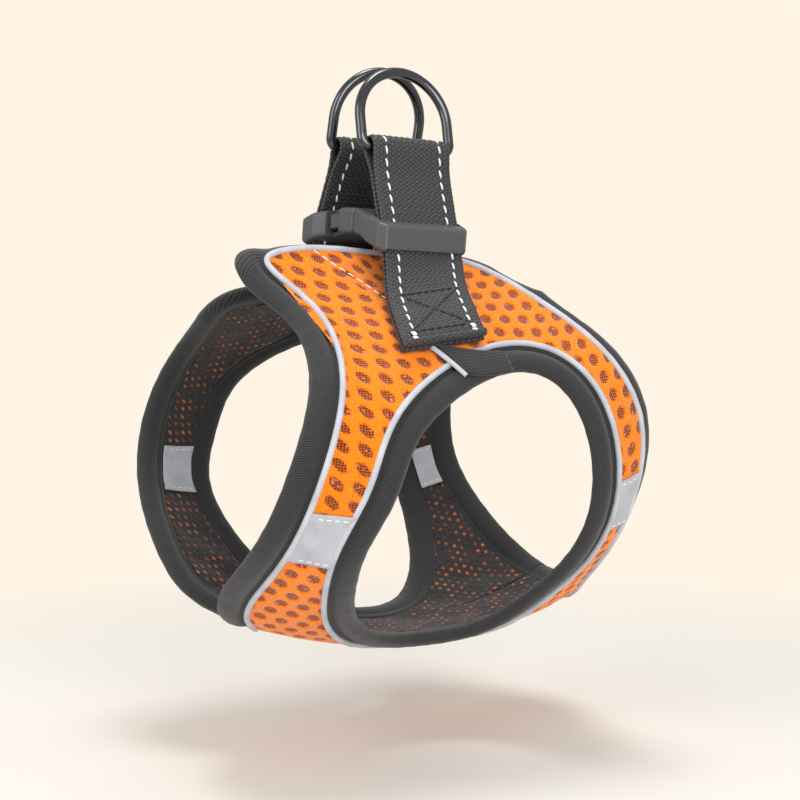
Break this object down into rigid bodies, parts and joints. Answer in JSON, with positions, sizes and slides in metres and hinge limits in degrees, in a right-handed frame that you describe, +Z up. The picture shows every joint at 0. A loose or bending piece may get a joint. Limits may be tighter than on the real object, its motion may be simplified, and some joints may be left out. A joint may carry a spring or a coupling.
{
  "type": "no pull harness",
  "caption": "Step-in mesh vest harness for a small dog or cat, with bound leg openings, a webbing strap on each side, D-rings and a side-release buckle.",
  "frame": {"origin": "centre of the bounding box at its bottom, under the breastbone", "axes": "+X to the wearer's left, -Y towards the neck, +Z up from the breastbone to the buckle on the back"},
  "size_m": [0.1256, 0.1284, 0.1744],
  "materials": {
    "orange_mesh": "bright orange spacer mesh, dimpled in a hexagon grid, matt",
    "black_lining": "black open mesh, matt",
    "charcoal_binding": "charcoal ribbed knit, matt",
    "grey_piping": "pale grey reflective piping, satin",
    "reflective_tape": "silver grey reflective tape, satin",
    "charcoal_webbing": "charcoal plain weave webbing with two pale reflective stitch lines",
    "gunmetal": "glossy gunmetal plating",
    "buckle_plastic": "dark grey satin plastic"
  },
  "bodies": {
    "chest": {"chest_lining": "black_lining", "chest_mesh_panel": "orange_mesh", "chest_neck_binding": "charcoal_binding", "chest_neck_piping": "grey_piping", "chest_rear_binding": "charcoal_binding", "chest_rear_piping": "grey_piping"},
    "left_side": {"left_back_mesh_panel": "orange_mesh", "left_front_inner_patch": "reflective_tape", "left_front_mesh_panel": "orange_mesh", "left_front_outer_patch": "reflective_tape", "left_leg_binding": "charcoal_binding", "left_leg_binding_tail": "charcoal_binding", "left_leg_piping": "grey_piping", "left_lining": "black_lining", "left_neck_binding": "charcoal_binding", "left_neck_piping": "grey_piping", "left_rear_binding": "charcoal_binding", "left_rear_inner_patch": "reflective_tape", "left_rear_outer_patch": "reflective_tape", "left_rear_piping": "grey_piping", "left_strap": "charcoal_webbing", "buckle_male_body": "buckle_plastic"},
    "right_side": {"right_back_mesh_panel": "orange_mesh", "right_front_inner_patch": "reflective_tape", "right_front_mesh_panel": "orange_mesh", "right_front_outer_patch": "reflective_tape", "right_leg_binding": "charcoal_binding", "right_leg_binding_tail": "charcoal_binding", "right_leg_piping": "grey_piping", "right_lining": "black_lining", "right_neck_binding": "charcoal_binding", "right_neck_piping": "grey_piping", "right_rear_binding": "charcoal_binding", "right_rear_inner_patch": "reflective_tape", "right_rear_outer_patch": "reflective_tape", "right_rear_piping": "grey_piping", "right_strap": "charcoal_webbing", "buckle_female_body": "buckle_plastic"},
    "left_ring": {"left_d_ring": "gunmetal"},
    "right_ring": {"right_d_ring": "gunmetal"},
    "front_prong": {"buckle_front_prong": "buckle_plastic"},
    "rear_prong": {"buckle_rear_prong": "buckle_plastic"}
  },
  "joints": [
    {"name": "left_side_fold", "type": "hinge", "parent": "chest", "child": "left_side", "pos_m": [0.0065, 0, 0.00318], "axis": [0, 0.9831, -0.1832], "range_deg": [0, 70]},
    {"name": "right_side_fold", "type": "hinge", "parent": "chest", "child": "right_side", "pos_m": [-0.0065, 0, 0.00318], "axis": [0, -0.9831, 0.1832], "range_deg": [0, 70]},
    {"name": "left_ring_swing", "type": "hinge", "parent": "left_side", "child": "left_ring", "pos_m": [0.0123, 0.01562, 0.15057], "axis": [0, 0.9781, -0.2079], "range_deg": [-5, 130]},
    {"name": "right_ring_swing", "type": "hinge", "parent": "right_side", "child": "right_ring", "pos_m": [-0.007, 0.01556, 0.15028], "axis": [0, -0.9781, 0.2079], "range_deg": [-5, 130]},
    {"name": "front_prong_squeeze", "type": "hinge", "parent": "left_side", "child": "front_prong", "pos_m": [0.0085, 0.00296, 0.13141], "axis": [0, -0.2079, -0.9781], "range_deg": [0, 9], "stiffness_Nm_per_rad": 0.002},
    {"name": "rear_prong_squeeze", "type": "hinge", "parent": "left_side", "child": "rear_prong", "pos_m": [0.0085, 0.01842, 0.12813], "axis": [0, 0.2079, 0.9781], "range_deg": [0, 9], "stiffness_Nm_per_rad": 0.002}
  ]
}
